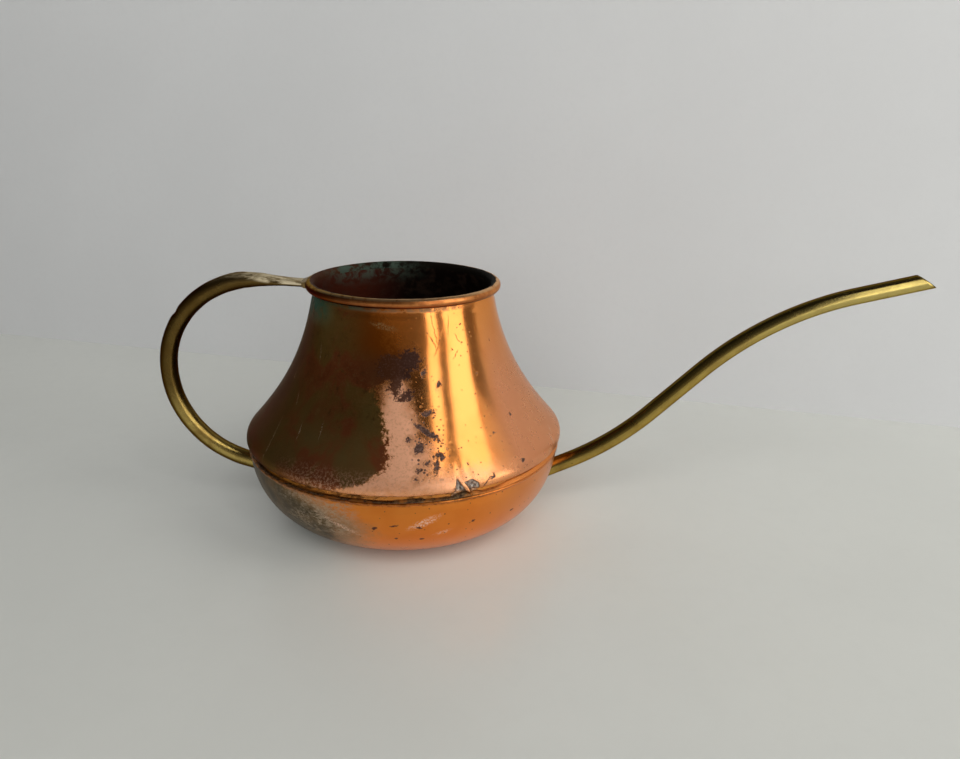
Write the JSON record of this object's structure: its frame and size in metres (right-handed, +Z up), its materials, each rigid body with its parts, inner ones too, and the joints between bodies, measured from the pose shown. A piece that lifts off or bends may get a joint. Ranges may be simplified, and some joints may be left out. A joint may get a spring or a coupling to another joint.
{
  "type": "watering can",
  "caption": "Small indoor watering can: spun copper body with an open rolled rim, brass tube handle and a long thin curved brass spout.",
  "frame": {"origin": "centre of the flat the can stands on, at table level", "axes": "+Z up along the body's axis of revolution, +X towards the spout, handle at -X"},
  "size_m": [0.3641, 0.15, 0.1204],
  "materials": {
    "copper_upper": "worn copper, polished on one side and dark patina on the other",
    "copper_bowl": "worn copper with dark patina patches",
    "rim_wire": "plain wire, hidden in the roll",
    "solder": "dull, dirty",
    "brass_spout": "dull brass with brown tarnish",
    "brass_handle": "dull brass, worn bright where it is held"
  },
  "bodies": {
    "root": {"upper_shell": "copper_upper", "rim_wire": "rim_wire", "base_bowl": "copper_bowl", "seam_solder": "solder", "spout_tube": "brass_spout", "spout_solder": "solder", "handle_tube": "brass_handle", "handle_foot_solder": "solder", "handle_tab_solder": "solder"}
  },
  "joints": []
}
